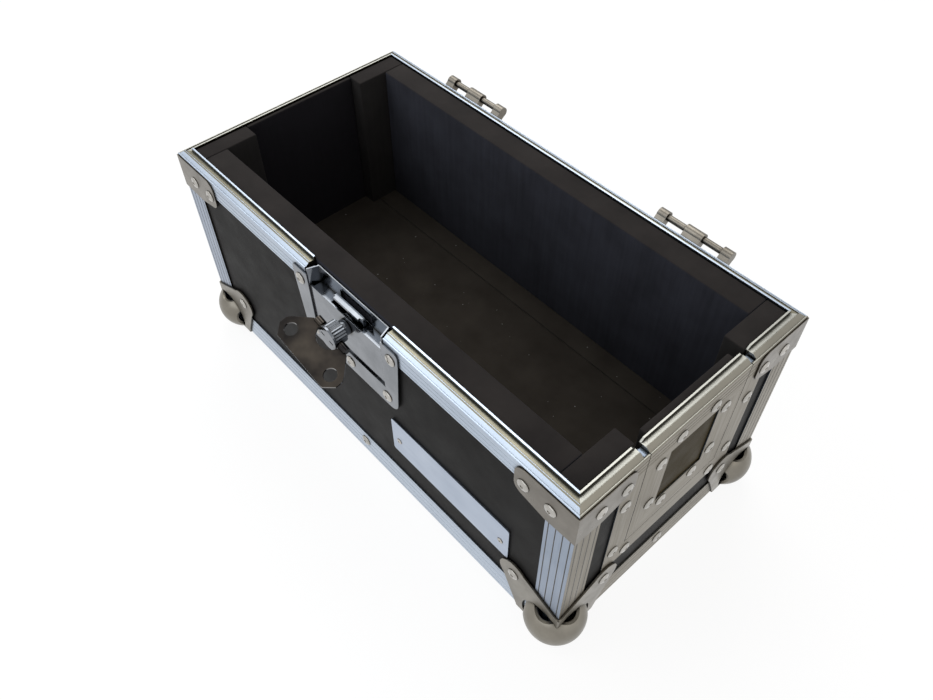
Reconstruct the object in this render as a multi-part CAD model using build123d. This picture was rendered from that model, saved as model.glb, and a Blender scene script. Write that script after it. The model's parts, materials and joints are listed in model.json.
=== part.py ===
from build123d import *
import os
from math import cos, pi, sin, sqrt

os.makedirs("parts", exist_ok=True)

# Open base of a small flight case for an audio mixer, in millimetres, +Z up.
# The origin is at the centre of the whole object's box, on the surface that it stands on.
# The latch is on the front, at -Y, and the lift-out hatch is in the right end, at +X.

# Overall sizes, over the outer faces of the aluminium
CASE_LENGTH = 418.0
CASE_DEPTH = 211.0
RIM_HEIGHT = 176.0

# Sheet stock
PLY = 7.0
SKIN = 1.2
INNER_LEG = 1.3
BRACE_SHEET = 1.0
BALL_SHEET = 1.5

# Edge rails and corner angles
RAIL_LEG = 25.0
CORNER_LEG = 22.5
RAIL_RIVET = 15.0
GROOVES = 4
GROOVE_SIZE = 0.6

# Rim extrusion, which takes the lid
RIM_FACE = 14.4
BEAD_RADIUS = 0.7
BEVEL_FOOT = (0.8, 1.2)
BEVEL_TOP = (4.5, 4.0)
SHOULDER_RISE = 3.5
TONGUE_RISE = 6.0
CHANNEL_ROOF = 0.3
INNER_LEG_DROP = 12.0
RIM_GROOVES = 3

# Ball corners under the case
BALL_RADIUS = 22.5
BALL_INSET = 11.3
BALL_LEG_RIVET = 41.5
BALL_LEG_ROUND = 13.0
BALL_LEG_BASE = 36.0
BALL_CAVITY = (17.6, 12.0, 6.2)
WINDOW_LENGTH = 21.0
WINDOW_WIDTH = 5.4
WINDOW_OFFSET = 28.3
BASE_Z = BALL_RADIUS - BALL_INSET

# Wrap-round braces at the top corners
BRACE_ARM = 48.0
BRACE_DROP = 30.0
BRACE_RISE = 5.5
BRACE_ROUND = 8.0
BRACE_RIVETS = (19.0, 40.5)
BRACE_RIVET_DROP = 15.5

# Blind rivets
RIVET_RADIUS = 4.7
RIVET_HEIGHT = 1.7
RIVET_TAPER = 50.0
RIVET_SIDES = 12

# Lift-out hatch in the right end
HATCH_WIDTH = 95.0
HATCH_BOTTOM = 71.5
HATCH_RAIL_FACE = 21.5
SEAM = 0.3
FRAME_FACE = 20.0
FRAME_INNER = 12.0
HATCH_FACE = 24.2
HATCH_INNER = 12.0
WEB = 1.2
GROOVE_DEPTH = 4.5
TONGUE_LENGTH = 4.2
TONGUE_WIDTH = 5.8
HATCH_FOAM = 5.0
HATCH_FOAM_INSET = 6.5
FRAME_RIVET = 12.3
FRAME_RIVET_DROP = 43.0
FRAME_RIVET_SHIFT = 2.5
STRIP_RIVET = 31.0
INNER_RIVET = 16.0
INNER_RIVET_DROP = 12.0
INNER_RIVET_RISE = 18.2

# Foam lining
FOAM_GAP = 0.3
WALL_FOAM = 19.0
BLOCK_FOAM = 15.0
BLOCK_REACH = 55.0
END_LINING = 3.0
FOAM_TOP = RIM_HEIGHT + 4.5
FLOOR_HEIGHT = 55.0
FLOOR_PAD = 10.0
FLOOR_STRIP = 19.0

# Recessed twist latch in the front
LATCH_X = 0.0
HUB_Z = RIM_HEIGHT - 22.5
DISH_HALF = 39.7
DISH_DRAFT = 3.0
DISH_DEPTH = 8.0
DISH_SHEET = 1.0
DISH_BOTTOM = RIM_HEIGHT - 50.0
DISH_TOP = RIM_HEIGHT + 1.5
DISH_CUT = 42.0
FLANGE_SHEET = 1.2
FLANGE_TOP = RIM_HEIGHT - 3.0
FLANGE_BOTTOM = RIM_HEIGHT - 68.0
FLANGE_HALF = 56.5
FLANGE_TAPER = 5.0
FLANGE_RIVETS = ((-49.0, -13.0), (49.0, -13.0), (-41.0, -59.0), (0.0, -59.5), (41.0, -59.0))
DISH_WINDOW = (-14.0, 20.0, RIM_HEIGHT - 12.5, RIM_HEIGHT - 3.5)
COVER_SHEET = 1.2
COVER_TOP = RIM_HEIGHT - 13.0
HOOK_SHEET = 2.5
HOOK_BACK = 5.7
HOOK_BAR = 5.0
HOOK_LIP = 1.8
CAM_THROW = 5.0
CAM_RADIUS = 6.0
CAM_CLEARANCE = 1.3
GUIDE_CLEARANCE = 0.4
SHAFT_RADIUS = 4.5
SHAFT_CLEARANCE = 0.06
DRUM_RADIUS = 8.5
DRUM_START = -5.0
DRUM_END = -14.4
HEAD_RADIUS = 9.4
HEAD_END = -16.0
KNURLS = 24
KNURL_DEPTH = 0.6
LATCH_TURN = 13.2
WING_FLIP = 75.0
WING_PIN_DEPTH = -11.8
WING_PIN_RADIUS = 1.75
WING_KNUCKLE = 3.0
WING_SHEET = 2.0
WING_REACH = 27.5
WING_HALF = 30.5
WING_HOLE = (21.5, 18.0)
WING_HOLE_RADIUS = 4.85
WING_CUT = 10.8
WING_EAR_END = 16.0

# Hinge halves on the back
HINGE_X = 112.5
HINGE_LENGTH = 63.0
HINGE_SHEET = 1.5
LEAF_TOP = RIM_HEIGHT - 6.0
LEAF_BOTTOM = RIM_HEIGHT - 34.0
KNUCKLE_END = 8.0
KNUCKLE_MIDDLE = 15.0
KNUCKLE_RADIUS = 4.2
HINGE_PIN_RADIUS = 2.5
HINGE_OUT = 10.0
HINGE_Z = RIM_HEIGHT - 1.0

# Bare plate on the front
PLATE = (120.0, 37.0, 1.5)
PLATE_X = 100.0
PLATE_Z = 70.5
PLATE_RIVET = 52.5
PLATE_RIVET_RADIUS = 2.4

HALF_LENGTH = CASE_LENGTH / 2
HALF_DEPTH = CASE_DEPTH / 2
INNER_FACE = SKIN + PLY
FOAM_FACE = INNER_FACE + INNER_LEG + FOAM_GAP
MITRE = 60.0
SIDES = {
    "front": (0, HALF_DEPTH),
    "right": (90, HALF_LENGTH),
    "back": (180, HALF_DEPTH),
    "left": (270, HALF_LENGTH),
}
CORNERS = {"front_right": (1, -1), "back_right": (1, 1), "back_left": (-1, 1), "front_left": (-1, -1)}

pieces = {}


def half_along(side):
    """Half of the case's size along a side."""
    return HALF_LENGTH if side in ("front", "back") else HALF_DEPTH


def place(part, side):
    """Move a part from the side's own frame, with Y as its depth from the outer face, to the case."""
    angle, half = SIDES[side]
    return Rot(0, 0, angle) * Pos(0, -half, 0) * part


def prism_yz(face, x0, x1):
    return Pos(x0, 0, 0) * extrude(Plane.YZ * face, x1 - x0)


def prism_xz(face, y0, y1):
    return Pos(0, y1, 0) * extrude(Plane.XZ * face, y1 - y0)


def prism_xy(face, z0, z1):
    return Pos(0, 0, z0) * extrude(face, z1 - z0)


def outline(*points):
    return make_face(Polyline(*points, close=True))


def block(x0, x1, y0, y1, z0, z1):
    return Pos((x0 + x1) / 2, (y0 + y1) / 2, (z0 + z1) / 2) * Box(x1 - x0, y1 - y0, z1 - z0)


def cylinder_y(radius, x, z, y0, y1):
    """A cylinder along the depth of a side."""
    return prism_xz(Pos(x, z) * Circle(radius), y0, y1)


def mitred(x0, x1, mitre0, mitre1, outside=5.0):
    """Plan area of a rail whose ends are cut square, or at 45 degrees on the case's corners."""
    return prism_xy(
        outline(
            (x0 - (outside if mitre0 else 0), -outside),
            (x1 + (outside if mitre1 else 0), -outside),
            (x1 - (MITRE if mitre1 else 0), MITRE),
            (x0 + (MITRE if mitre0 else 0), MITRE),
        ),
        -outside,
        RIM_HEIGHT + 2 * TONGUE_RISE,
    )


def reeding(profile, first, last, count, along_z=True):
    """Fine grooves along the outer face of a profile."""
    for index in range(count):
        at = first + (last - first) * (index + 0.5) / count
        spot = Pos(0, at) if along_z else Pos(at, 0)
        profile -= spot * Rot(0, 0, 45) * Rectangle(GROOVE_SIZE, GROOVE_SIZE)
    return profile


def rim_profile(face=RIM_FACE):
    """Section of the rim: outer leg, bead, bevel, shoulder and upstanding tongue."""
    top = RIM_HEIGHT
    inner = INNER_FACE + INNER_LEG
    section = outline(
        (0, top - face),
        (0, top + BEVEL_FOOT[1] - BEAD_RADIUS),
        (BEVEL_FOOT[0], top + BEVEL_FOOT[1]),
        (BEVEL_TOP[0], top + BEVEL_TOP[1]),
        (BEVEL_TOP[0], top + SHOULDER_RISE),
        (INNER_FACE, top + SHOULDER_RISE),
        (INNER_FACE, top + TONGUE_RISE),
        (inner, top + TONGUE_RISE),
        (inner, top - INNER_LEG_DROP),
        (INNER_FACE, top - INNER_LEG_DROP),
        (INNER_FACE, top + CHANNEL_ROOF),
        (SKIN, top + CHANNEL_ROOF),
        (SKIN, top - face),
    )
    section += Pos(BEAD_RADIUS - 0.2, top + BEVEL_FOOT[1] - BEAD_RADIUS / 2) * Circle(BEAD_RADIUS)
    return reeding(section, top - RIM_FACE, top - 2.0, RIM_GROOVES)


def bottom_rail(side):
    """Aluminium angle along a bottom edge, mitred with its neighbours and the corner angles."""
    half = half_along(side)
    section = outline(
        (0, 0), (RAIL_LEG, 0), (RAIL_LEG, SKIN), (SKIN, SKIN), (SKIN, RAIL_LEG), (0, RAIL_LEG)
    )
    section = reeding(section, 0, RAIL_LEG, GROOVES)
    rail = prism_yz(section, -half, half) & mitred(-half, half, True, True)
    for end in (-1, 1):
        corner = outline((end * half, 0), (end * half, MITRE), (end * (half - MITRE), MITRE))
        rail -= prism_xz(corner, -1, SKIN)
    return place(rail, side)


def corner_angle():
    """Upright angle on the corner at +X -Y, cut to a point between the ball corner's legs."""
    leg = CORNER_LEG
    section = outline((0, 0), (-leg, 0), (-leg, SKIN), (-SKIN, SKIN), (-SKIN, leg), (0, leg))
    section = reeding(section, 0, -leg, GROOVES, along_z=False)
    section = reeding(section, 0, leg, GROOVES)
    angle = prism_xy(section, 0, RIM_HEIGHT - RIM_FACE)
    angle -= prism_xz(outline((0, 0), (-MITRE, 0), (-MITRE, MITRE)), -1, MITRE)
    angle -= prism_yz(outline((0, 0), (MITRE, 0), (MITRE, MITRE)), -MITRE, 1)
    return angle


def brace():
    """Folded corner brace on the corner at +X -Y, with two round-ended arms."""
    low = RIM_HEIGHT - BRACE_DROP
    top = RIM_HEIGHT - 0.2

    def arm():
        shape = outline(
            (0, low + 1), (-CORNER_LEG, low), (-BRACE_ARM, low + BRACE_RISE), (-BRACE_ARM, top), (0, top)
        )
        ends = shape.vertices().filter_by(lambda v: v.X < -BRACE_ARM + 1)
        return fillet(ends, BRACE_ROUND)

    front = prism_xz(arm(), -BRACE_SHEET, 0)
    side = Rot(0, 0, -90) * prism_xz(arm(), 0, BRACE_SHEET)
    edge = block(0, BRACE_SHEET, -BRACE_SHEET, 0, low + 1, top)
    return front + side + edge


def on_corners(part, corner):
    """Copy a part made for the corner at +X -Y to one of the four corners."""
    x, y = CORNERS[corner]
    part = Pos(HALF_LENGTH, -HALF_DEPTH, 0) * part
    if y > 0:
        part = mirror(part, Plane.XZ)
    if x < 0:
        part = mirror(part, Plane.YZ)
    return part


def ball_leg_face():
    """Outline of one leg, in distances from the corner: a broad base narrowing to its rivet."""
    reach = BALL_LEG_RIVET
    spread = BALL_LEG_ROUND / sqrt(2)
    body = outline(
        (0, 0),
        (BALL_LEG_BASE, 0),
        (reach + spread, reach - spread),
        (reach - spread, reach + spread),
        (0, BALL_LEG_BASE),
    )
    return body + Pos(reach, reach) * Circle(BALL_LEG_ROUND)


def window_faces():
    """Windows where the ball meets a leg's sheet: two lenses, each of two arcs that meet in points."""
    radius = (WINDOW_LENGTH**2 + WINDOW_WIDTH**2) / (4 * WINDOW_WIDTH)
    off = radius - WINDOW_WIDTH / 2
    lens = Pos(off, 0) * Circle(radius) & Pos(-off, 0) * Circle(radius)
    upper = Pos(BALL_INSET, WINDOW_OFFSET) * Rot(0, 0, 90) * lens
    return upper + Pos(WINDOW_OFFSET, BALL_INSET) * lens


def on_faces(part):
    """Copy a part from the end face to the front and bottom faces of the corner at +X -Y."""
    end = Plane(origin=(0, 0, 0), x_dir=(0, 1, 0), z_dir=(1, 0, 0))
    under = Plane(origin=(0, 0, 0), x_dir=(-1, 0, 0), z_dir=(0, 0, -1))
    fold = Plane(origin=(0, 0, 0), z_dir=(1, 1, 0))
    return [mirror(end * part, fold), end * part, under * part]


def ball_corner():
    """Pressed ball corner at +X -Y: a hollow ball outside the case and three riveted legs."""
    # Both poles of the ball fall in windows
    centre = Plane(origin=(-BALL_INSET, BALL_INSET, BALL_INSET), z_dir=(0, -1, 1))
    inside = block(-MITRE, 0, 0, MITRE, 0, MITRE)
    foot, crown, rise = BALL_CAVITY
    over_face = block(0, MITRE, 0, MITRE, 0, MITRE)
    cavity = Pos(BALL_INSET, BALL_INSET, rise / 2) * Cone(foot, crown, rise) & over_face
    edges = [
        prism_xy(Circle(BALL_SHEET), 0, BALL_LEG_BASE),
        prism_yz(Circle(BALL_SHEET), -BALL_LEG_BASE, 0),
        prism_xz(Circle(BALL_SHEET), 0, BALL_LEG_BASE),
    ]
    shell = centre * Sphere(BALL_RADIUS) - inside
    for piece in on_faces(extrude(ball_leg_face(), BALL_SHEET)) + edges:
        shell += piece - inside
    for hollow in on_faces(cavity) + on_faces(extrude(window_faces(), BALL_RADIUS)):
        shell -= hollow
    return shell


def rivet(radius):
    """Head of a blind rivet on the plane Y = 0, standing out towards -Y."""
    height = RIVET_HEIGHT * radius / RIVET_RADIUS
    return Rot(90, 0, 0) * extrude(RegularPolygon(radius, RIVET_SIDES), height, taper=RIVET_TAPER)


def rivets(spots, depth, radius=RIVET_RADIUS):
    """Rivet heads at (x, z) on a side, seated on the face at the given depth."""
    head = rivet(radius)
    return [Pos(x, depth, z) * head for x, z in spots]


# Walls and floor of plywood
HATCH_HALF = HATCH_WIDTH / 2
GROOVE_END = SEAM + GROOVE_DEPTH
PLY_EDGE = GROOVE_END + WEB
CHANNEL_TOP = RIM_HEIGHT + CHANNEL_ROOF


def panels():
    floor_x = HALF_LENGTH - SKIN
    floor_y = HALF_DEPTH - SKIN
    pieces["bottom_panel"] = block(-floor_x, floor_x, -floor_y, floor_y, SKIN, INNER_FACE)
    wall = block(-floor_x, floor_x, SKIN, INNER_FACE, INNER_FACE, CHANNEL_TOP)
    dish_hole = block(
        LATCH_X - DISH_CUT, LATCH_X + DISH_CUT, 0, MITRE, DISH_BOTTOM - DISH_SHEET - SEAM, 2 * RIM_HEIGHT
    )
    pieces["back_panel"] = place(wall, "back")
    pieces["front_panel"] = place(wall - dish_hole, "front")
    end_x = HALF_DEPTH - INNER_FACE
    end = block(-end_x, end_x, SKIN, INNER_FACE, INNER_FACE, CHANNEL_TOP)
    doorway = block(
        -HATCH_HALF - PLY_EDGE, HATCH_HALF + PLY_EDGE, 0, MITRE, HATCH_BOTTOM - PLY_EDGE, 2 * RIM_HEIGHT
    )
    pieces["left_panel"] = place(end, "left")
    pieces["right_panel"] = place(end - doorway, "right")


def nipped(rail, x, way):
    """Nip the top corner of a rail's tongue where it ends beside the hatch or the latch."""
    top = RIM_HEIGHT + TONGUE_RISE
    nip = TONGUE_RISE - SHOULDER_RISE
    corner = outline((x, top - nip), (x, top + 1), (x - way * (nip + 1), top + 1))
    return rail - prism_xz(corner, 0, MITRE)


def rims():
    """The rim in six rails: mitred at the corners, open for the latch and the hatch."""
    long_end, short_end = HALF_LENGTH, HALF_DEPTH
    stop = HATCH_HALF + SEAM
    relief = HATCH_HALF + GROOVE_END

    def rail(x0, x1, mitre0, mitre1, face=RIM_FACE):
        return prism_yz(rim_profile(face), x0 - 5, x1 + 5) & mitred(x0, x1, mitre0, mitre1)

    def beside_hatch(part, way):
        # Only the outer leg reaches the seam, so that the hatch's tongue can pass
        part -= block(*sorted((way * stop, way * relief)), SKIN, MITRE, 0, 2 * RIM_HEIGHT)
        return nipped(part, way * relief, -way)

    pieces["rim_front_left"] = place(rail(-long_end, LATCH_X - DISH_CUT, True, False), "front")
    pieces["rim_front_right"] = place(rail(LATCH_X + DISH_CUT, long_end, False, True), "front")
    pieces["rim_back"] = place(rail(-long_end, long_end, True, True), "back")
    pieces["rim_left"] = place(rail(-short_end, short_end, True, True), "left")
    pieces["rim_right_front"] = place(beside_hatch(rail(-short_end, -stop, True, False), -1), "right")
    pieces["rim_right_back"] = place(beside_hatch(rail(stop, short_end, False, True), 1), "right")
    edge = HATCH_HALF - SEAM
    hatch_rail = rail(-edge, edge, False, False, HATCH_RAIL_FACE)
    hatch_rail = nipped(nipped(hatch_rail, edge, 1), -edge, -1)
    pieces["hatch_top_rail"] = place(hatch_rail, "right")


def frame_section():
    """Fixed channel round the doorway, as distances out from the seam and in from the outer face."""
    inner = INNER_FACE + SKIN
    return [
        (SEAM, 0),
        (FRAME_FACE, 0),
        (FRAME_FACE, SKIN),
        (PLY_EDGE, SKIN),
        (PLY_EDGE, INNER_FACE),
        (FRAME_INNER, INNER_FACE),
        (FRAME_INNER, inner),
        (SEAM, inner),
        (SEAM, INNER_FACE),
        (GROOVE_END, INNER_FACE),
        (GROOVE_END, SKIN),
        (SEAM, SKIN),
    ]


def hatch_section():
    """Edge channel of the hatch, with the tongue that slides in the fixed channel's groove."""
    inner = INNER_FACE + SKIN
    middle = (SKIN + INNER_FACE) / 2
    low, high = middle - TONGUE_WIDTH / 2, middle + TONGUE_WIDTH / 2
    tip = SEAM - TONGUE_LENGTH
    return [
        (-SEAM, 0),
        (-HATCH_FACE, 0),
        (-HATCH_FACE, SKIN),
        (-SEAM - WEB, SKIN),
        (-SEAM - WEB, INNER_FACE),
        (-HATCH_INNER, INNER_FACE),
        (-HATCH_INNER, inner),
        (-SEAM, inner),
        (-SEAM, high),
        (-tip, high),
        (-tip, low),
        (-SEAM, low),
    ]


def doorway_strips(section, name, rail_face):
    """Two uprights and a bottom strip round the doorway, mitred at the lower corners."""
    far = 2 * RIM_HEIGHT
    reach = HATCH_HALF - SEAM
    side_area = outline(
        (HATCH_HALF - reach, HATCH_BOTTOM + reach),
        (HATCH_HALF + reach, HATCH_BOTTOM - reach),
        (HATCH_HALF + reach, far),
        (HATCH_HALF - reach, far),
    )
    bottom_area = outline(
        (-HATCH_HALF - reach, HATCH_BOTTOM - reach),
        (HATCH_HALF + reach, HATCH_BOTTOM - reach),
        (HATCH_HALF - reach, HATCH_BOTTOM + reach),
        (reach - HATCH_HALF, HATCH_BOTTOM + reach),
    )
    upright = prism_xy(outline(*[(HATCH_HALF + out, depth) for out, depth in section]), 0, CHANNEL_TOP)
    upright = upright & prism_xz(side_area, -MITRE, MITRE)
    upright -= block(-far, far, -MITRE, SKIN, RIM_HEIGHT - rail_face, far)
    upright -= block(-far, far, INNER_FACE, MITRE, RIM_HEIGHT - INNER_LEG_DROP, far)
    bottom = prism_yz(outline(*[(depth, HATCH_BOTTOM - out) for out, depth in section]), -HALF_DEPTH, HALF_DEPTH)
    bottom = bottom & prism_xz(bottom_area, -MITRE, MITRE)
    pieces[name + "_back"] = place(upright, "right")
    pieces[name + "_front"] = place(mirror(upright, Plane.YZ), "right")
    pieces[name + "_bottom"] = place(bottom, "right")


def hatch():
    doorway_strips(frame_section(), "hatch_frame", RIM_FACE)
    doorway_strips(hatch_section(), "hatch_strip", HATCH_RAIL_FACE)
    edge = HATCH_HALF - SEAM - WEB
    sheet = block(-edge, edge, SKIN, INNER_FACE, HATCH_BOTTOM + SEAM + WEB, CHANNEL_TOP)
    pieces["hatch_panel"] = place(sheet, "right")
    foam = HATCH_HALF - HATCH_FOAM_INSET
    lining = block(-foam, foam, FOAM_FACE, FOAM_FACE + HATCH_FOAM, HATCH_BOTTOM + SEAM, FOAM_TOP)
    pieces["hatch_foam"] = place(lining, "right")
    below_rail = RIM_HEIGHT - HATCH_RAIL_FACE - RIVET_RADIUS - SEAM
    spots = []
    for way in (-1, 1):
        spots += [(way * STRIP_RIVET, below_rail), (way * STRIP_RIVET, HATCH_BOTTOM + STRIP_RIVET)]
        spots += [(way * INNER_RIVET, RIM_HEIGHT - INNER_RIVET_DROP)]
        spots += [(way * INNER_RIVET, HATCH_BOTTOM + INNER_RIVET_RISE)]
    pieces["hatch_rivets"] = Compound(children=[place(head, "right") for head in rivets(spots, 0)])


def latch_dish():
    """Recessed dish with a riveted flange, open at the rim so that the lid's catch can enter."""
    a, b = DISH_HALF, DISH_HALF - DISH_DRAFT
    slope = DISH_DRAFT / DISH_DEPTH
    outer = outline(
        (-a - DISH_SHEET, 0),
        (a + DISH_SHEET, 0),
        (b + DISH_SHEET, DISH_DEPTH + DISH_SHEET),
        (-b - DISH_SHEET, DISH_DEPTH + DISH_SHEET),
    )
    inner = outline((-a - slope, -1), (a + slope, -1), (b, DISH_DEPTH), (-b, DISH_DEPTH))
    dish = prism_xy(outer, DISH_BOTTOM - DISH_SHEET, DISH_TOP)
    dish -= prism_xy(inner, DISH_BOTTOM, DISH_TOP + 1)
    x0, x1, z0, z1 = DISH_WINDOW
    dish -= block(x0, x1, DISH_DEPTH - 1, DISH_DEPTH + DISH_SHEET + 1, z0, z1)
    foot = FLANGE_HALF - FLANGE_TAPER
    plate = outline(
        (-FLANGE_HALF, FLANGE_TOP),
        (-FLANGE_HALF, RIM_HEIGHT - RIM_FACE),
        (-foot, FLANGE_BOTTOM),
        (foot, FLANGE_BOTTOM),
        (FLANGE_HALF, RIM_HEIGHT - RIM_FACE),
        (FLANGE_HALF, FLANGE_TOP),
    )
    plate = fillet(plate.vertices().filter_by(lambda v: v.Y < FLANGE_BOTTOM + 1), 9)
    plate = fillet(plate.vertices().filter_by(lambda v: v.Y > FLANGE_TOP - 1), 3)
    flange = prism_xz(plate, -FLANGE_SHEET, 0)
    flange -= block(-DISH_HALF, DISH_HALF, -2, 1, DISH_BOTTOM, DISH_TOP)
    return flange + dish


def latch_cover():
    """Folded cover inside the dish: front plate, two shelves and the hook's guide cheeks."""
    half = DISH_HALF - DISH_DRAFT * COVER_SHEET / DISH_DEPTH - SEAM
    shelf = DISH_HALF - DISH_DRAFT - SEAM
    guide = hook_half() + GUIDE_CLEARANCE
    cover = block(-half, half, 0, COVER_SHEET, DISH_BOTTOM, COVER_TOP)
    for way in (-1, 1):
        x0, x1 = sorted((way * guide, way * shelf))
        cover += block(x0, x1, COVER_SHEET, DISH_DEPTH, COVER_TOP - COVER_SHEET, COVER_TOP)
        x0, x1 = sorted((way * guide, way * (guide + COVER_SHEET)))
        cover += block(x0, x1, COVER_SHEET, DISH_DEPTH, HUB_Z - CAM_RADIUS - HOOK_BAR, COVER_TOP)
    return cover - cylinder_y(SHAFT_RADIUS + SHAFT_CLEARANCE, 0, HUB_Z, -1, COVER_SHEET + 1)


def hook_half():
    return CAM_RADIUS + CAM_THROW + GUIDE_CLEARANCE + HOOK_BAR


def latch_hook():
    """Draw hook: a flat ring round the cam's round lobe, with a lip for the lid's catch."""
    middle = HUB_Z + CAM_THROW * (1 - 2 * LATCH_TURN / 180)
    slot_x = CAM_RADIUS + CAM_THROW + GUIDE_CLEARANCE
    slot_z = CAM_RADIUS + CAM_CLEARANCE
    half = hook_half()
    front = HOOK_BACK - HOOK_SHEET
    ring = Rectangle(2 * half, 2 * (slot_z + HOOK_BAR)) - Rectangle(2 * slot_x, 2 * slot_z)
    ring = fillet(ring.vertices().filter_by(lambda v: abs(v.X) > half - 1), 2)
    hook = prism_xz(Pos(0, middle) * ring, front, HOOK_BACK)
    top = middle + slot_z + HOOK_BAR
    lip = block(3 - half, half - 3, COVER_SHEET + SEAM, front, top - HOOK_LIP, top)
    return hook + lip


def latch_cam():
    """Twist hub: round lobe behind the cover, shaft, knurled drum and slotted head."""
    lobe = cylinder_y(CAM_RADIUS, 0, CAM_THROW, COVER_SHEET + SEAM, HOOK_BACK)
    shaft = cylinder_y(SHAFT_RADIUS, 0, 0, DRUM_START, HOOK_BACK - HOOK_SHEET - SEAM)
    neck = cylinder_y(SHAFT_RADIUS + 1.5, 0, 0, DRUM_START, -SEAM)
    ridges = []
    for index in range(2 * KNURLS):
        angle = pi * index / KNURLS
        radius = DRUM_RADIUS - KNURL_DEPTH * (index % 2)
        ridges.append((radius * cos(angle), radius * sin(angle)))
    drum = prism_xz(outline(*ridges), DRUM_END, DRUM_START)
    head = cylinder_y(HEAD_RADIUS, 0, 0, HEAD_END, DRUM_END)
    for x in (-HEAD_RADIUS / 2, HEAD_RADIUS / 2):
        head -= block(x - 2, x + 2, HEAD_END - 1, HEAD_END + 0.8, -0.7, 0.7)
    hub = lobe + shaft + neck + drum + head
    bore = prism_yz(Pos(WING_PIN_DEPTH, 0) * Circle(WING_PIN_RADIUS), -MITRE, MITRE)
    return hub - bore


def latch_wing():
    """Butterfly wing hanging from its pin: two rolled ears, two finger holes, cut round the hub."""
    ear = HEAD_RADIUS + SEAM
    half = [
        (ear, 0),
        (WING_EAR_END, 0),
        (WING_HALF - 2, -12),
        (WING_HALF, -15),
        (WING_HALF, -20.5),
        (WING_HALF - 6.5, -WING_REACH),
    ]
    plate = outline(*half, *[(-x, z) for x, z in reversed(half)])
    plate -= Circle(WING_CUT)
    for way in (-1, 1):
        plate -= Pos(way * WING_HOLE[0], -WING_HOLE[1]) * Circle(WING_HOLE_RADIUS)
    wing = prism_xz(plate, -WING_SHEET / 2, WING_SHEET / 2)
    for way in (-1, 1):
        x0, x1 = sorted((way * ear, way * WING_EAR_END))
        wing += prism_yz(Circle(WING_KNUCKLE), x0, x1)
    return wing - prism_yz(Circle(WING_PIN_RADIUS + SHAFT_CLEARANCE), -MITRE, MITRE)


def latch():
    def seat(part):
        return place(Pos(LATCH_X, 0, 0) * part, "front")

    def turned(part):
        return seat(Pos(0, 0, HUB_Z) * Rot(0, LATCH_TURN, 0) * part)

    pieces["latch_dish"] = seat(latch_dish())
    pieces["latch_cover"] = seat(latch_cover())
    pieces["latch_hook"] = seat(latch_hook())
    pieces["latch_cam"] = turned(latch_cam())
    pin = prism_yz(Pos(WING_PIN_DEPTH, 0) * Circle(WING_PIN_RADIUS), -WING_EAR_END, WING_EAR_END)
    pieces["latch_wing_pin"] = turned(pin)
    pieces["latch_wing"] = turned(Pos(0, WING_PIN_DEPTH, 0) * Rot(-WING_FLIP, 0, 0) * latch_wing())


def hinge_half():
    """Riveted leaf with three rolled knuckles, which hold an open pin for the lid's half."""
    half = HINGE_LENGTH / 2
    leaf = block(-half, half, -HINGE_SHEET, 0, LEAF_BOTTOM, LEAF_TOP)
    finger = outline(
        (0, LEAF_TOP - 4),
        (0, LEAF_TOP),
        (KNUCKLE_RADIUS / 2 - HINGE_OUT, HINGE_Z + 0.8 * KNUCKLE_RADIUS),
        (-HINGE_OUT - KNUCKLE_RADIUS / 2, HINGE_Z - 0.8 * KNUCKLE_RADIUS),
        (-HINGE_SHEET, LEAF_TOP - 7),
    )
    section = finger + Pos(-HINGE_OUT, HINGE_Z) * Circle(KNUCKLE_RADIUS)
    spans = (
        (-half, KNUCKLE_END - half),
        (-KNUCKLE_MIDDLE / 2, KNUCKLE_MIDDLE / 2),
        (half - KNUCKLE_END, half),
    )
    for x0, x1 in spans:
        leaf += prism_yz(section, x0, x1)
    return leaf - prism_yz(Pos(-HINGE_OUT, HINGE_Z) * Circle(HINGE_PIN_RADIUS), -MITRE, MITRE)


def hinges():
    half = HINGE_LENGTH / 2
    pin = prism_yz(Pos(-HINGE_OUT, HINGE_Z) * Circle(HINGE_PIN_RADIUS), -half, half)
    for name, x in (("left", HINGE_X), ("right", -HINGE_X)):
        pieces["hinge_leaf_" + name] = place(Pos(x, 0, 0) * hinge_half(), "back")
        pieces["hinge_pin_" + name] = place(Pos(x, 0, 0) * pin, "back")


def bare_plate():
    width, height, thick = PLATE
    sheet = fillet(Rectangle(width, height).vertices(), 2)
    return place(prism_xz(Pos(PLATE_X, PLATE_Z) * sheet, SKIN - thick, SKIN), "front")


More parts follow.
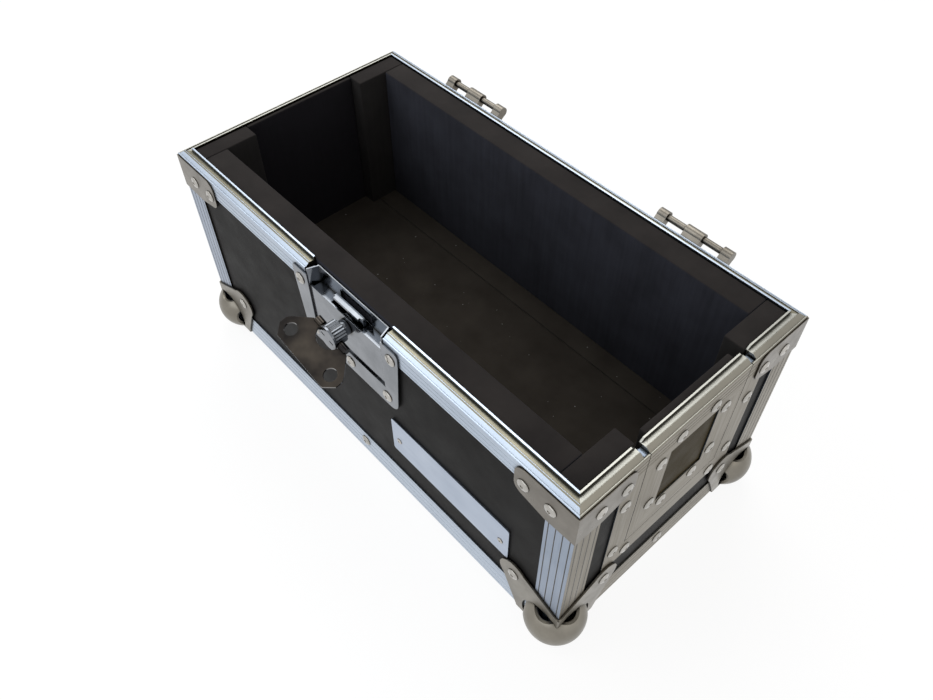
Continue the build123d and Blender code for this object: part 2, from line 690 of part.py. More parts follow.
def lining():
    """Foam: a deep base, a floor pad in two pieces, walls, corner blocks and a thin end lining."""
    wall_x = HALF_LENGTH - FOAM_FACE - BLOCK_FOAM - FOAM_GAP
    base_top = FLOOR_HEIGHT - FLOOR_PAD
    low = base_top + FOAM_GAP
    base_x = HALF_LENGTH - INNER_FACE - FOAM_GAP
    base_y = HALF_DEPTH - INNER_FACE - FOAM_GAP
    pieces["foam_base"] = block(-base_x, base_x, -base_y, base_y, INNER_FACE, base_top)
    wall = block(-wall_x, wall_x, FOAM_FACE, FOAM_FACE + WALL_FOAM, low, FOAM_TOP)
    pieces["foam_front"] = place(wall, "front")
    pieces["foam_back"] = place(wall, "back")
    reach = HALF_DEPTH - BLOCK_REACH
    edge = HALF_DEPTH - FOAM_FACE
    corner = block(reach, edge, FOAM_FACE, FOAM_FACE + BLOCK_FOAM, low, FOAM_TOP)
    pieces["foam_block_back_right"] = place(corner, "right")
    pieces["foam_block_front_right"] = place(mirror(corner, Plane.YZ), "right")
    pieces["foam_block_front_left"] = place(corner, "left")
    pieces["foam_block_back_left"] = place(mirror(corner, Plane.YZ), "left")
    thin_x = reach - FOAM_GAP
    pieces["foam_left_lining"] = place(
        block(-thin_x, thin_x, FOAM_FACE, FOAM_FACE + END_LINING, low, FOAM_TOP), "left"
    )
    pad_left = FOAM_FACE + END_LINING + FOAM_GAP - HALF_LENGTH
    pad_right = HALF_LENGTH - FOAM_FACE
    pad_y = HALF_DEPTH - FOAM_FACE - WALL_FOAM - FOAM_GAP
    crease = pad_y - FLOOR_STRIP
    block_x = HALF_LENGTH - FOAM_FACE - BLOCK_FOAM - FOAM_GAP
    for name, y0, y1 in (("pad", -pad_y, crease), ("strip", crease + FOAM_GAP, pad_y)):
        pad = block(pad_left, pad_right, y0, y1, base_top, FLOOR_HEIGHT)
        for x0, x1 in ((block_x, HALF_LENGTH), (-HALF_LENGTH, -block_x)):
            for z0, z1 in ((reach - FOAM_GAP, HALF_DEPTH), (-HALF_DEPTH, FOAM_GAP - reach)):
                pad -= block(x0, x1, z0, z1, base_top - 1, FLOOR_HEIGHT + 1)
        pieces["foam_floor_" + name] = pad


def case_rivets():
    """Every rivet head of the fixed case, seated on the sheet that it holds."""
    heads = []

    def add(side, spots, depth, radius=RIVET_RADIUS):
        heads.extend(place(head, side) for head in rivets(spots, depth, radius))

    leg = BALL_LEG_RIVET
    brace_z = RIM_HEIGHT - BRACE_RIVET_DROP
    for side in SIDES:
        half = half_along(side)
        for way in (-1, 1):
            add(side, [(way * (half - at), brace_z) for at in BRACE_RIVETS], -BRACE_SHEET)
            add(side, [(way * (half - leg), leg)], -BALL_SHEET)
        add(side, [(0, RAIL_RIVET)], 0)
    add("front", [(LATCH_X + x, RIM_HEIGHT + z) for x, z in FLANGE_RIVETS], -FLANGE_SHEET)
    plate_spots = [(PLATE_X + way * PLATE_RIVET, PLATE_Z - 3) for way in (-1, 1)]
    add("front", plate_spots, SKIN - PLATE[2], PLATE_RIVET_RADIUS)
    for way in (-1, 1):
        side_x = way * (HATCH_HALF + FRAME_RIVET)
        add("right", [(side_x, RIM_HEIGHT - FRAME_RIVET_DROP), (side_x, HATCH_BOTTOM + FRAME_RIVET_SHIFT)], 0)
        add("right", [(way * (HATCH_HALF - FRAME_RIVET_SHIFT), HATCH_BOTTOM - FRAME_RIVET)], 0)
        for x in (-0.35, 0.35):
            spot = (way * HINGE_X + x * HINGE_LENGTH, LEAF_BOTTOM + 8)
            add("back", [spot], -HINGE_SHEET)
    under = Rot(90, 0, 0) * rivet(RIVET_RADIUS)
    for x in (-1, 1):
        for y in (-1, 1):
            heads.append(Pos(x * (HALF_LENGTH - leg), y * (HALF_DEPTH - leg), -BALL_SHEET) * under)
    return Compound(children=heads)


panels()
rims()
hatch()
for name in SIDES:
    pieces["bottom_rail_" + name] = bottom_rail(name)
upright, fold, ball = corner_angle(), brace(), ball_corner()
for name in CORNERS:
    pieces["corner_angle_" + name] = on_corners(upright, name)
    pieces["top_brace_" + name] = on_corners(fold, name)
    pieces["ball_corner_" + name] = on_corners(ball, name)
latch()
hinges()
pieces["front_plate"] = bare_plate()
lining()
pieces["case_rivets"] = case_rivets()

# The whole object's box decides how far the case stands back from the origin
boxes = [part.bounding_box() for part in pieces.values()]
SHIFT_Y = -(min(box.min.Y for box in boxes) + max(box.max.Y for box in boxes)) / 2

for name, part in pieces.items():
    export_step(Pos(0, SHIFT_Y, BASE_Z) * part, f"parts/{name}.step")
print(f"{len(pieces)} nodes, case shifted {SHIFT_Y:.3f} mm along Y, underside at {BASE_Z:.2f} mm")
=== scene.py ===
import json
import math
import random

import bmesh
import bpy
from mathutils import Matrix, Quaternion, Vector


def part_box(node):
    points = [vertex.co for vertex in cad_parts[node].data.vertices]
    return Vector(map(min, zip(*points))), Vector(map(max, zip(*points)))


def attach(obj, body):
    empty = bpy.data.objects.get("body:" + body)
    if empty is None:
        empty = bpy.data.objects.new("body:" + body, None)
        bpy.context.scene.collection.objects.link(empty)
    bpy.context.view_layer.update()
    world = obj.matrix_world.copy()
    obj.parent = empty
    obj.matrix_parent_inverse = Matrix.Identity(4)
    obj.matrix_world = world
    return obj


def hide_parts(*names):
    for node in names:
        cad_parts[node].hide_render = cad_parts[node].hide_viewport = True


# Looks of the mixer case: finishes, foam, rivets and a plain studio, in metres in the CAD's frame

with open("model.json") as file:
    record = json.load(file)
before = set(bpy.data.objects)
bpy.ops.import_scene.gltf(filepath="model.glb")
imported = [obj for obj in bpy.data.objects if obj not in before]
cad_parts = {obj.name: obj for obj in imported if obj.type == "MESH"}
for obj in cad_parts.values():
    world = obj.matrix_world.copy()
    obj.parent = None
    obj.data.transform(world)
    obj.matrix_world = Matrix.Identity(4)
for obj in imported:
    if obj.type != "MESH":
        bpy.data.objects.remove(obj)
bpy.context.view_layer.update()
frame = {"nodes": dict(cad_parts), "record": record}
random.seed(7)

# Camera solved from the case's straight edges in the photo, with angles in degrees and a lens in millimetres
CAMERA_PLACE = (0.32558, -0.27663, 0.58428)
CAMERA_AZIMUTH = -48.243
CAMERA_DOWN = 50.696
CAMERA_ROLL = -0.429
CAMERA_LENS = 32.126
CAMERA_SENSOR = 36.0
CAMERA_CLIP = 0.01

# Studio, as place, aim, size, power and colour of each lamp
LAMPS = (
    ("key", (-0.9, -0.9, 1.5), (0.0, 0.0, 0.1), (1.2, 1.0), 7.0, (0.93, 0.97, 1.0)),
    ("front", (0.2, -1.5, 0.7), (0.0, 0.0, 0.1), (1.4, 0.8), 4.0, (0.9, 0.95, 1.0)),
    ("right", (1.5, 0.1, 0.8), (0.0, 0.0, 0.1), (1.0, 1.0), 1.5, (1.0, 0.93, 0.84)),
    ("over", (-0.85, 0.76, 1.6), (0.0, 0.0, 0.15), (1.3, 1.1), 13.0, (1.0, 1.0, 0.98)),
)
WHITE = (1.0, 1.0, 1.0)
WORLD_STRENGTH = 0.35
SHOWN_STRENGTH = 1.0
FLOOR_SIZE = 6.0
FLOOR_BASE = (0.8, 0.8, 0.8)
FLOOR_GREYS = (0.79, 0.81)
FLOOR_GLOW = 0.8
FLOOR_GLOW_STRENGTH = 1.12

# Places on the case, from the frame, the middle being in X and Y
RIM_LOW, RIM_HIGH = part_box("rim_left")
TONGUE_OVER_SHOULDER = 0.0025
SHOULDER = RIM_HIGH[2] - TONGUE_OVER_SHOULDER
SHOULDER_REACH = 0.0003
MIDDLE = (0.0, (RIM_LOW[1] + RIM_HIGH[1]) / 2)

# Rivet head: a dome on a lip, then the broken stem, as shares of the stem's radius and the head's height
RIVET_RADIUS = 0.0047
RIVET_HEIGHT = 0.0017
RIVET_LIP = 0.0002
RIVET_SIDES = 28
DOME_STEPS = 8
DOME_DEGREES = 80.0
STEM_SHARE = 0.3
STEM_SECTION = ((1.0, 1.0), (0.85, 0.94), (0.8, 0.45), (0.68, 0.45), (0.62, 0.75), (0.0, 0.8))

# Foam and meshes, the flat angle in radians
FOAM_ROUND = 0.0009
FOAM_ROUND_STEPS = 3
FLAT_ANGLE = 0.01
SAME_POINT = 1e-6

# Where a value's ramp starts and ends, from 0 to 1
TONE_SPREAD = (0.3, 0.75)
SHEEN_SPREAD = (0.3, 0.8)
# Ramp of the painted shade in grooves and seams
GROOVE_SHADE_SPREAD = (0.6, 0.92)
LINT_SPREAD = (0.865, 0.885)
FLOOR_SPREAD = (0.2, 0.9)

# Detail of the finishes
NOISE_ROUGHNESS = 0.55
BEVEL_SAMPLES = 4
OCCLUSION_SAMPLES = 6
GROOVE_REACH = 0.003
STREAK_STRETCH = 0.03
KNIFE_STRETCH = (1.0, 1.0, 0.05)
KNIFE_SHARE = 0.35
LINT = 0.25

# Colours, each as its darker and its lighter tone
CHARCOAL = ((0.011, 0.0105, 0.0102), (0.019, 0.018, 0.0175))
OLIVE = ((0.039, 0.028, 0.010), (0.067, 0.050, 0.020))
# Painted light: lit and shaded copies of one aluminium, by the way a rail runs, along X, along Z and along Y
COOL_PAINTED_LIGHT = ((0.40, 0.46, 0.55), (0.47, 0.54, 0.63))
DIM_COOL_PAINTED_LIGHT = ((0.24, 0.29, 0.37), (0.31, 0.36, 0.45))
NEUTRAL_PAINTED_LIGHT = ((0.36, 0.36, 0.33), (0.44, 0.44, 0.40))
# Painted shade: a darker, warm tone for aluminium faces that look along X
WARM_PAINTED_SHADE = ((0.145, 0.123, 0.085), (0.19, 0.165, 0.12))
# Painted shade: a dark stripe along the rim's shoulder, beside the tongue
SHOULDER_PAINTED_SHADE = ((0.17, 0.16, 0.12), (0.25, 0.235, 0.18))
BRUSHED = ((0.37, 0.43, 0.53), (0.46, 0.52, 0.62))
BRIGHT_NICKEL = ((0.36, 0.35, 0.325), (0.50, 0.48, 0.45))
DULL_STEEL = ((0.138, 0.125, 0.106), (0.198, 0.181, 0.155))
# Painted light: a lighter copy of the dull plating for the ball corners
BALL_STEEL_PAINTED_LIGHT = ((0.182, 0.168, 0.143), (0.262, 0.244, 0.208))
BRIGHT_STEEL = ((0.135, 0.147, 0.165), (0.235, 0.25, 0.275))
# Painted reflection: the latch wing's chrome darkened and mottled as if it reflected the dark case
WING_PAINTED_REFLECTION = ((0.016, 0.015, 0.016), (0.085, 0.073, 0.06))
FOAM_SKIN = ((0.016, 0.0135, 0.013), (0.031, 0.0265, 0.025))
FLOOR_SKIN = ((0.030, 0.0245, 0.0195), (0.05, 0.042, 0.034))
BLOCK_CUT = ((0.013, 0.012, 0.012), (0.027, 0.025, 0.024))
# Painted light: a lighter, bluish copy of the cut foam for the back and front walls
WALL_CUT_PAINTED_LIGHT = ((0.021, 0.0215, 0.028), (0.044, 0.046, 0.06))
# Painted shade: a near-black copy of the cut foam for the left lining
LINING_PAINTED_SHADE = ((0.005, 0.0045, 0.006), (0.01, 0.009, 0.012))

# Colours of the painted shade in grooves and seams
ALUMINIUM_GROOVE_SHADE = (0.11, 0.105, 0.09)
PLATING_GROOVE_SHADE = (0.25, 0.23, 0.2)


# Nodes of a material

def shader(name, base, roughness, metallic=0.0):
    """A new node material; returns it with its tree and its surface shader."""
    material = bpy.data.materials.new(name)
    material.use_nodes = True
    tree = material.node_tree
    surface = tree.nodes["Principled BSDF"]
    surface.inputs["Base Color"].default_value = (*base, 1.0)
    surface.inputs["Roughness"].default_value = roughness
    surface.inputs["Metallic"].default_value = metallic
    return material, tree, surface


def place_coordinates(tree, scale=(1.0, 1.0, 1.0)):
    """Object coordinates in metres, stretched by a scale on each axis."""
    source = tree.nodes.new("ShaderNodeTexCoord")
    mapping = tree.nodes.new("ShaderNodeMapping")
    mapping.inputs["Scale"].default_value = scale
    tree.links.new(source.outputs["Object"], mapping.inputs["Vector"])
    return mapping.outputs["Vector"]


def speckle(tree, coordinates, scale, detail=3.0):
    """Noise over the surface, from 0 to 1."""
    texture = tree.nodes.new("ShaderNodeTexNoise")
    texture.inputs["Scale"].default_value = scale
    texture.inputs["Detail"].default_value = detail
    texture.inputs["Roughness"].default_value = NOISE_ROUGHNESS
    tree.links.new(coordinates, texture.inputs["Vector"])
    return texture.outputs["Fac"]


def ramp(tree, value, spread, ends):
    """Map a value to a blend of two colours, or of two greys given as single numbers."""
    node = tree.nodes.new("ShaderNodeValToRGB")
    for element, position, end in zip(node.color_ramp.elements, spread, ends):
        element.position = position
        element.color = (*end, 1.0) if isinstance(end, tuple) else (end, end, end, 1.0)
    tree.links.new(value, node.inputs["Fac"])
    return node.outputs["Color"]


def calculated(tree, operation, *values):
    """The result of a calculation on numbers or sockets."""
    node = tree.nodes.new("ShaderNodeMath")
    node.operation = operation
    for socket, value in zip(node.inputs, values):
        if isinstance(value, float):
            socket.default_value = value
        else:
            tree.links.new(value, socket)
    return node.outputs["Value"]


def blended(tree, share, first, second, kind="MIX"):
    """Blend two colours, the share being a number or a socket."""
    mix = tree.nodes.new("ShaderNodeMix")
    mix.data_type = "RGBA"
    mix.blend_type = kind
    if isinstance(share, float):
        mix.inputs["Factor"].default_value = share
    else:
        tree.links.new(share, mix.inputs["Factor"])
    tree.links.new(first, mix.inputs["A"])
    tree.links.new(second, mix.inputs["B"])
    return mix.outputs["Result"]


def mixed(tree, share, first, second):
    """Mix two shaders by a socket."""
    mix = tree.nodes.new("ShaderNodeMixShader")
    tree.links.new(share, mix.inputs["Fac"])
    tree.links.new(first, mix.inputs[1])
    tree.links.new(second, mix.inputs[2])
    return mix.outputs["Shader"]


def facing(tree, axis):
    """How far a face looks along an axis, either way, from 0 to 1."""
    geometry = tree.nodes.new("ShaderNodeNewGeometry")
    parts = tree.nodes.new("ShaderNodeSeparateXYZ")
    tree.links.new(geometry.outputs["True Normal"], parts.inputs["Vector"])
    return calculated(tree, "ABSOLUTE", parts.outputs[axis])


def at_shoulder(tree):
    """One at the height of the rim's shoulder, zero elsewhere."""
    parts = tree.nodes.new("ShaderNodeSeparateXYZ")
    tree.links.new(place_coordinates(tree), parts.inputs["Vector"])
    return calculated(tree, "COMPARE", parts.outputs["Z"], SHOULDER, SHOULDER_REACH)


def seen_rays(tree):
    """One for rays from the camera, a gloss or a glass, zero for the light itself."""
    rays = tree.nodes.new("ShaderNodeLightPath").outputs
    seen = calculated(tree, "MAXIMUM", rays["Is Camera Ray"], rays["Is Glossy Ray"])
    return calculated(tree, "MAXIMUM", seen, rays["Is Transmission Ray"])


def shaded_in_grooves(tree, surface, tone, dark):
    """Colour a metal by a tone, with painted shade that darkens it in its grooves and seams."""
    depth = tree.nodes.new("ShaderNodeAmbientOcclusion")
    depth.samples = OCCLUSION_SAMPLES
    depth.inputs["Distance"].default_value = GROOVE_REACH
    shade = ramp(tree, depth.outputs["AO"], GROOVE_SHADE_SPREAD, (dark, WHITE))
    tree.links.new(blended(tree, 1.0, tone, shade, "MULTIPLY"), surface.inputs["Base Color"])


def sheened(tree, surface, value, low, high):
    """Vary the roughness between two values over a value."""
    tree.links.new(ramp(tree, value, SHEEN_SPREAD, (low, high)), surface.inputs["Roughness"])


def bump(tree, surface, height, distance, strength, round_by=0.0):
    """Relief from a height, over edges that may be shaded round by a radius."""
    node = tree.nodes.new("ShaderNodeBump")
    node.inputs["Distance"].default_value = distance
    node.inputs["Strength"].default_value = strength
    tree.links.new(height, node.inputs["Height"])
    if round_by:
        edge = tree.nodes.new("ShaderNodeBevel")
        edge.samples = BEVEL_SAMPLES
        edge.inputs["Radius"].default_value = round_by
        tree.links.new(edge.outputs["Normal"], node.inputs["Normal"])
    tree.links.new(node.outputs["Normal"], surface.inputs["Normal"])


# Finishes

def laminate(name, tones):
    """Pressed laminate with a fine pebbled face."""
    material, tree, surface = shader(name, tones[0], roughness=0.42)
    where = place_coordinates(tree)
    tone = ramp(tree, speckle(tree, where, scale=9.0), TONE_SPREAD, tones)
    tree.links.new(tone, surface.inputs["Base Color"])
    sheened(tree, surface, speckle(tree, where, scale=60.0), low=0.4, high=0.52)
    surface.inputs["Specular IOR Level"].default_value = 0.03
    pebbles = speckle(tree, where, scale=1400.0, detail=2.0)
    bump(tree, surface, pebbles, distance=0.00012, strength=0.5)
    return material


def aluminium(name, along, tones, x_facing_shade_tones=None, shoulder_shade_tones=None):
    """Satin extrusion with streaks of the die along it, perhaps with painted shade on its faces that look
    along X and on its shoulder.
    """
    material, tree, surface = shader(name, tones[0], roughness=0.34, metallic=1.0)
    stretch = tuple(STREAK_STRETCH if axis == along else 1.0 for axis in range(3))
    streaks = speckle(tree, place_coordinates(tree, stretch), scale=700.0, detail=4.0)
    marks = speckle(tree, place_coordinates(tree), scale=22.0)
    tone = ramp(tree, marks, TONE_SPREAD, tones)
    # Painted shade on the faces that look along X
    if x_facing_shade_tones:
        tone = blended(tree, facing(tree, "X"), tone, ramp(tree, marks, TONE_SPREAD, x_facing_shade_tones))
    # Painted shade along the rim's shoulder
    if shoulder_shade_tones:
        tone = blended(tree, at_shoulder(tree), tone, ramp(tree, marks, TONE_SPREAD, shoulder_shade_tones))
    # Painted shade in the grooves and seams
    shaded_in_grooves(tree, surface, tone, ALUMINIUM_GROOVE_SHADE)
    sheened(tree, surface, streaks, low=0.28, high=0.42)
    bump(tree, surface, streaks, distance=0.00004, strength=0.5, round_by=0.0003)
    return material


def plating(name, tones, roughness, spread, waves=0.25):
    """Plated steel: slight waves of the sheet, and a sheen that varies."""
    material, tree, surface = shader(name, tones[0], roughness, metallic=1.0)
    where = place_coordinates(tree)
    # Painted shade in the grooves and seams
    shaded_in_grooves(tree, surface, ramp(tree, speckle(tree, where, scale=45.0), TONE_SPREAD, tones), PLATING_GROOVE_SHADE)
    sheened(tree, surface, speckle(tree, where, scale=120.0), low=roughness, high=roughness + spread)
    sheet = speckle(tree, where, scale=110.0, detail=1.0)
    bump(tree, surface, sheet, distance=0.0002, strength=waves, round_by=0.0004)
    return material


def foam(name, skin, cut, linty=False):
    """Closed-cell foam: fine cells, a cloudy tone, and faint upright strokes of the knife on its walls."""
    material, tree, surface = shader(name, skin[0], roughness=0.9)
    where = place_coordinates(tree)
    cloud = speckle(tree, where, scale=30.0)
    strokes = speckle(tree, place_coordinates(tree, KNIFE_STRETCH), scale=260.0, detail=2.0)
    clouded = ramp(tree, cloud, TONE_SPREAD, cut)
    walls = blended(tree, KNIFE_SHARE, clouded, ramp(tree, strokes, TONE_SPREAD, cut))
    tone = blended(tree, facing(tree, "Z"), walls, ramp(tree, cloud, TONE_SPREAD, skin))
    if linty:
        lint = ramp(tree, speckle(tree, where, scale=420.0, detail=0.0), LINT_SPREAD, (0.0, LINT))
        tone = blended(tree, 1.0, tone, lint, "ADD")
    tree.links.new(tone, surface.inputs["Base Color"])
    surface.inputs["Specular IOR Level"].default_value = 0.2
    bump(tree, surface, speckle(tree, where, scale=2200.0), distance=0.00025, strength=0.6)
    return material


def pale_floor():
    """Pale floor that looks nearly white to the camera and in reflections, and keeps the object's shadow."""
    material, tree, surface = shader("pale_floor", FLOOR_BASE, roughness=0.7)
    tone = ramp(tree, speckle(tree, place_coordinates(tree), scale=2.0), FLOOR_SPREAD, FLOOR_GREYS)
    tree.links.new(tone, surface.inputs["Base Color"])
    glow = tree.nodes.new("ShaderNodeEmission")
    glow.inputs["Strength"].default_value = FLOOR_GLOW_STRENGTH
    share = calculated(tree, "MULTIPLY", seen_rays(tree), FLOOR_GLOW)
    shown = mixed(tree, share, surface.outputs["BSDF"], glow.outputs["Emission"])
    tree.links.new(shown, tree.nodes["Material Output"].inputs["Surface"])
    return material


LAMINATE = laminate("charcoal_laminate", CHARCOAL)
HATCH_LAMINATE = laminate("olive_laminate", OLIVE)
# Painted light: each run of aluminium has its own lit or shaded tone
ALUMINIUM_X = aluminium("aluminium_along_x", 0, COOL_PAINTED_LIGHT, WARM_PAINTED_SHADE, SHOULDER_PAINTED_SHADE)
ALUMINIUM_Y = aluminium("aluminium_along_y", 1, NEUTRAL_PAINTED_LIGHT, WARM_PAINTED_SHADE)
ALUMINIUM_Z = aluminium("aluminium_along_z", 2, DIM_COOL_PAINTED_LIGHT, WARM_PAINTED_SHADE)
PLATE = aluminium("brushed_plate", 0, BRUSHED)
NICKEL = plating("bright_nickel", BRIGHT_NICKEL, roughness=0.16, spread=0.12)
SHEET = plating("dull_plating", DULL_STEEL, roughness=0.26, spread=0.12)
# Painted light on the ball corners
BALL_PLATING_PAINTED_LIGHT = plating("ball_plating_painted_light", BALL_STEEL_PAINTED_LIGHT, roughness=0.28, spread=0.12)
CHROME = plating("bright_plating", BRIGHT_STEEL, roughness=0.1, spread=0.08, waves=0.12)
# Painted reflection on the latch wing's chrome
WING_CHROME_PAINTED_REFLECTION = plating("wing_plating_painted_reflection", WING_PAINTED_REFLECTION, roughness=0.06, spread=0.05, waves=0.12)
FOAM = foam("cut_foam", FOAM_SKIN, BLOCK_CUT)
# Painted light on the back and front walls
WALL_FOAM_PAINTED_LIGHT = foam("wall_foam", FOAM_SKIN, WALL_CUT_PAINTED_LIGHT)
# Painted shade on the left lining
LINING_FOAM_PAINTED_SHADE = foam("lining_foam", FOAM_SKIN, LINING_PAINTED_SHADE)
FLOOR_FOAM = foam("floor_foam", FLOOR_SKIN, FOAM_SKIN, linty=True)

# Finish of each of the record's material slots
FINISHES = {
    "laminated_plywood": LAMINATE,
    "aluminium_profile": ALUMINIUM_X,
    "nickel_plated_steel": SHEET,
    "chrome_plated_steel": CHROME,
    "anodised_plate": PLATE,
    "closed_cell_foam": FOAM,
}

# Finishes of nodes that differ from their slot's, by the start of the name
OWN_FINISHES = (
    (("rim_left", "rim_right", "bottom_rail_left", "bottom_rail_right", "hatch_top_rail"), ALUMINIUM_Y),
    (("hatch_frame_bottom", "hatch_strip_bottom"), ALUMINIUM_Y),
    (("corner_angle", "hatch_frame_front", "hatch_frame_back"), ALUMINIUM_Z),
    (("hatch_strip_front", "hatch_strip_back"), ALUMINIUM_Z),
    (("ball_corner",), BALL_PLATING_PAINTED_LIGHT),
    (("hatch_panel",), HATCH_LAMINATE),
    (("latch_wing",), WING_CHROME_PAINTED_REFLECTION),
)

# Foam of the pieces that aren't plain blocks
LININGS = {
    "foam_floor_pad": FLOOR_FOAM,
    "foam_floor_strip": FLOOR_FOAM,
    "foam_back": WALL_FOAM_PAINTED_LIGHT,
    "foam_left_lining": LINING_FOAM_PAINTED_SHADE,
    "foam_front": WALL_FOAM_PAINTED_LIGHT,
}


# Pieces

def dress_cad():
    """Give each CAD node its slot's finish, or its own."""
    slots = {entry["node"]: entry["material_slot"] for entry in frame["record"]["subparts"]}
    for name, piece in frame["nodes"].items():
        finish = FINISHES[slots[name]]
        for starts, own in OWN_FINISHES:
            if name.startswith(starts):
                finish = own
        piece.data.materials.clear()
        piece.data.materials.append(finish)


def new_object(name, data):
    """A new object in the scene."""
    made = bpy.data.objects.new(name, data)
    bpy.context.scene.collection.objects.link(made)
    return made


def add_piece(name, shape, body, material):
    """A smooth-shaded piece from a bmesh, on a body and with a slot."""
    mesh = bpy.data.meshes.new(name)
    shape.to_mesh(mesh)
    shape.free()
    for face in mesh.polygons:
        face.use_smooth = True
    piece = new_object(name, mesh)
    piece.data.materials.append(material)
    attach(piece, body)
    return piece


def welded(mesh):
    """A bmesh copy of a CAD mesh, with the corners that coincide joined."""
    shape = bmesh.new()
    shape.from_mesh(mesh)
    bmesh.ops.remove_doubles(shape, verts=shape.verts, dist=SAME_POINT)
    return shape


def solid_boxes(mesh):
    """Lowest and highest corners of the separate solids in a mesh, in the order of its vertices."""
    shape = welded(mesh)
    met = set()
    boxes = []
    for first in shape.verts:
        if first in met:
            continue
        met.add(first)
        queue = [first]
        members = []
        while queue:
            vertex = queue.pop()
            members.append(vertex.co.copy())
            for edge in vertex.link_edges:
                other = edge.other_vert(vertex)
                if other not in met:
                    met.add(other)
                    queue.append(other)
        low = Vector([min(point[axis] for point in members) for axis in range(3)])
        high = Vector([max(point[axis] for point in members) for axis in range(3)])
        boxes.append((low, high))
    shape.free()
    return boxes


def rivet_section(radius):
    """Half section of a blind rivet's head, from its foot to the middle of its broken stem."""
    height = RIVET_HEIGHT * radius / RIVET_RADIUS
    stem = STEM_SHARE * radius
    section = [(radius, 0.0)]
    for step in range(DOME_STEPS + 1):
        angle = math.radians(DOME_DEGREES * step / DOME_STEPS)
        across = radius * math.cos(angle)
        if across > stem:
            section.append((across, RIVET_LIP + (height - RIVET_LIP) * math.sin(angle)))
    for across, up in STEM_SECTION:
        section.append((across * stem, up * height))
    return section


def rivet_place(low, high):
    """Where a head's foot sits and how it is turned, from the box of the CAD's head.

    A head looks away from the case along its thin way, and one that is thin along Z looks down.
    """
    size = high - low
    axis = min(range(3), key=lambda index: size[index])
    seat = (low + high) / 2
    side = 1.0 if axis < 2 and seat[axis] > MIDDLE[axis] else -1.0
    outward = Vector((0.0, 0.0, 0.0))
    outward[axis] = side
    seat[axis] = low[axis] if side > 0 else high[axis]
    turn = Vector((0.0, 0.0, 1.0)).rotation_difference(outward).to_matrix().to_4x4()
    return Matrix.Translation(seat) @ turn


def lathe(shape, section, matrix):
    """Turn a half section about Z, and put it in place."""
    rings = []
    for radius, height in section:
        ring = []
        for step in range(RIVET_SIDES if radius else 1):
            angle = 2 * math.pi * step / RIVET_SIDES
            point = Vector((radius * math.cos(angle), radius * math.sin(angle), height))
            ring.append(shape.verts.new(matrix @ point))
        rings.append(ring)
    for lower, upper in zip(rings, rings[1:]):
        for step in range(RIVET_SIDES):
            after = (step + 1) % RIVET_SIDES
            if len(upper) == 1:
                shape.faces.new((lower[step], lower[after], upper[0]))
            else:
                shape.faces.new((lower[step], lower[after], upper[after], upper[step]))
    shape.faces.new(list(reversed(rings[0])))


def rivet_heads(node, body):
    """Turned rivet heads in place of the CAD's plain ones, each as wide as the one it covers."""
    shape = bmesh.new()
    for low, high in solid_boxes(frame["nodes"][node].data):
        radius = max(high - low) / 2
        spin = Matrix.Rotation(random.uniform(0.0, math.pi), 4, "Z")
        lathe(shape, rivet_section(radius), rivet_place(low, high) @ spin)
    bmesh.ops.recalc_face_normals(shape, faces=shape.faces)
    piece = add_piece(node + "_turned", shape, body, NICKEL)
    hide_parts(node)


def foam_piece(node, body, material):
    """Cut foam in place of a CAD solid, with softened edges."""
    shape = welded(frame["nodes"][node].data)
    bmesh.ops.dissolve_limit(shape, angle_limit=FLAT_ANGLE, verts=shape.verts, edges=shape.edges)
    bmesh.ops.bevel(
        shape,
        geom=shape.edges[:],
        offset=FOAM_ROUND,
        segments=FOAM_ROUND_STEPS,
        profile=0.5,
        affect="EDGES",
        clamp_overlap=True,
    )
    bmesh.ops.triangulate(shape, faces=[face for face in shape.faces if len(face.verts) > 4])
    piece = add_piece(node + "_cut", shape, body, material)
    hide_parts(node)


# Studio

def lay_floor():
    """A wide pale floor under the object."""
    bpy.ops.mesh.primitive_plane_add(size=FLOOR_SIZE, location=(0.0, 0.0, 0.0))
    floor = bpy.context.object
    floor.name = "floor"
    floor.data.materials.append(pale_floor())


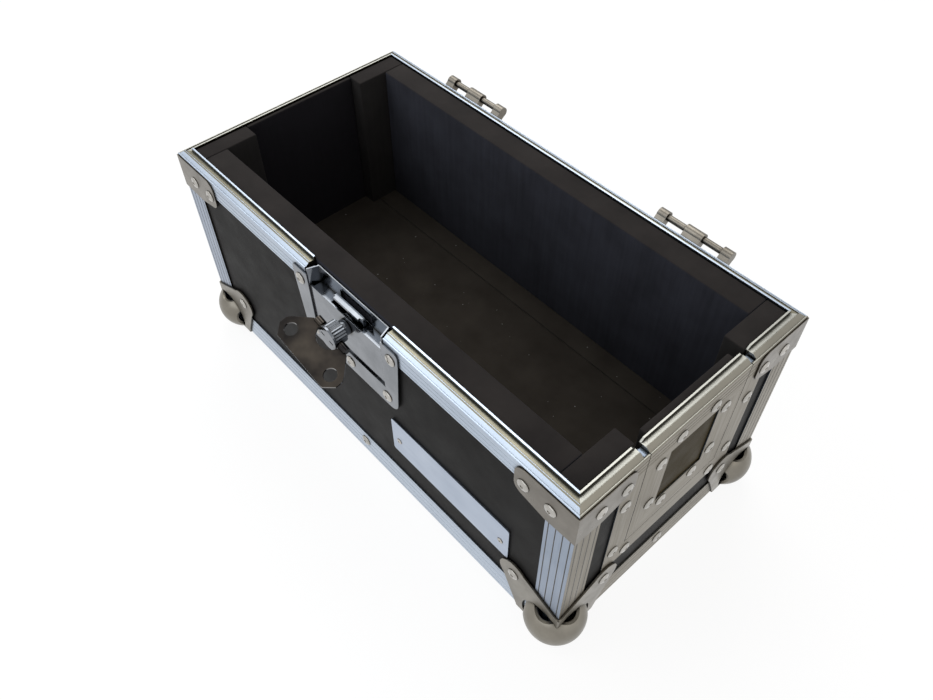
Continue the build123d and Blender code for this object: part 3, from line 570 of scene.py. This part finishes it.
def light_world():
    """Dim white light on the object, and a full white background to the camera and in reflections."""
    world = bpy.data.worlds.new("studio")
    bpy.context.scene.world = world
    world.use_nodes = True
    tree = world.node_tree
    light = tree.nodes["Background"]
    shown = tree.nodes.new("ShaderNodeBackground")
    for background, strength in ((light, WORLD_STRENGTH), (shown, SHOWN_STRENGTH)):
        background.inputs["Color"].default_value = (*WHITE, 1.0)
        background.inputs["Strength"].default_value = strength
    both = mixed(tree, seen_rays(tree), light.outputs["Background"], shown.outputs["Background"])
    tree.links.new(both, tree.nodes["World Output"].inputs["Surface"])


def place_lamps():
    """Rectangular lamps, each turned towards its aim."""
    for name, place, aim, size, power, colour in LAMPS:
        lamp = bpy.data.lights.new(name, "AREA")
        lamp.shape = "RECTANGLE"
        lamp.size, lamp.size_y = size
        lamp.energy = power
        lamp.color = colour
        holder = new_object(name, lamp)
        holder.location = place
        holder.rotation_euler = (Vector(aim) - Vector(place)).to_track_quat("-Z", "Y").to_euler()


def place_camera():
    """The photograph's camera."""
    lens = bpy.data.cameras.new("camera")
    lens.sensor_fit = "HORIZONTAL"
    lens.sensor_width = CAMERA_SENSOR
    lens.lens = CAMERA_LENS
    lens.clip_start = CAMERA_CLIP
    holder = new_object("camera", lens)
    holder.location = CAMERA_PLACE
    azimuth = math.radians(CAMERA_AZIMUTH)
    down = math.radians(CAMERA_DOWN)
    level = math.cos(down)
    aim = Vector((math.sin(azimuth) * level, math.cos(azimuth) * level, -math.sin(down)))
    roll = Quaternion((0.0, 0.0, 1.0), math.radians(CAMERA_ROLL))
    holder.rotation_mode = "QUATERNION"
    holder.rotation_quaternion = aim.to_track_quat("-Z", "Y") @ roll
    bpy.context.scene.camera = holder


# The scene

dress_cad()
rivet_heads("case_rivets", "case")
rivet_heads("hatch_rivets", "hatch")
for foam_node in sorted(frame["nodes"]):
    if foam_node.startswith("foam_"):
        foam_piece(foam_node, "case", LININGS.get(foam_node, FOAM))
foam_piece("hatch_foam", "hatch", FOAM)
lay_floor()
light_world()
place_lamps()
place_camera()
bpy.context.scene.view_settings.view_transform = "Standard"
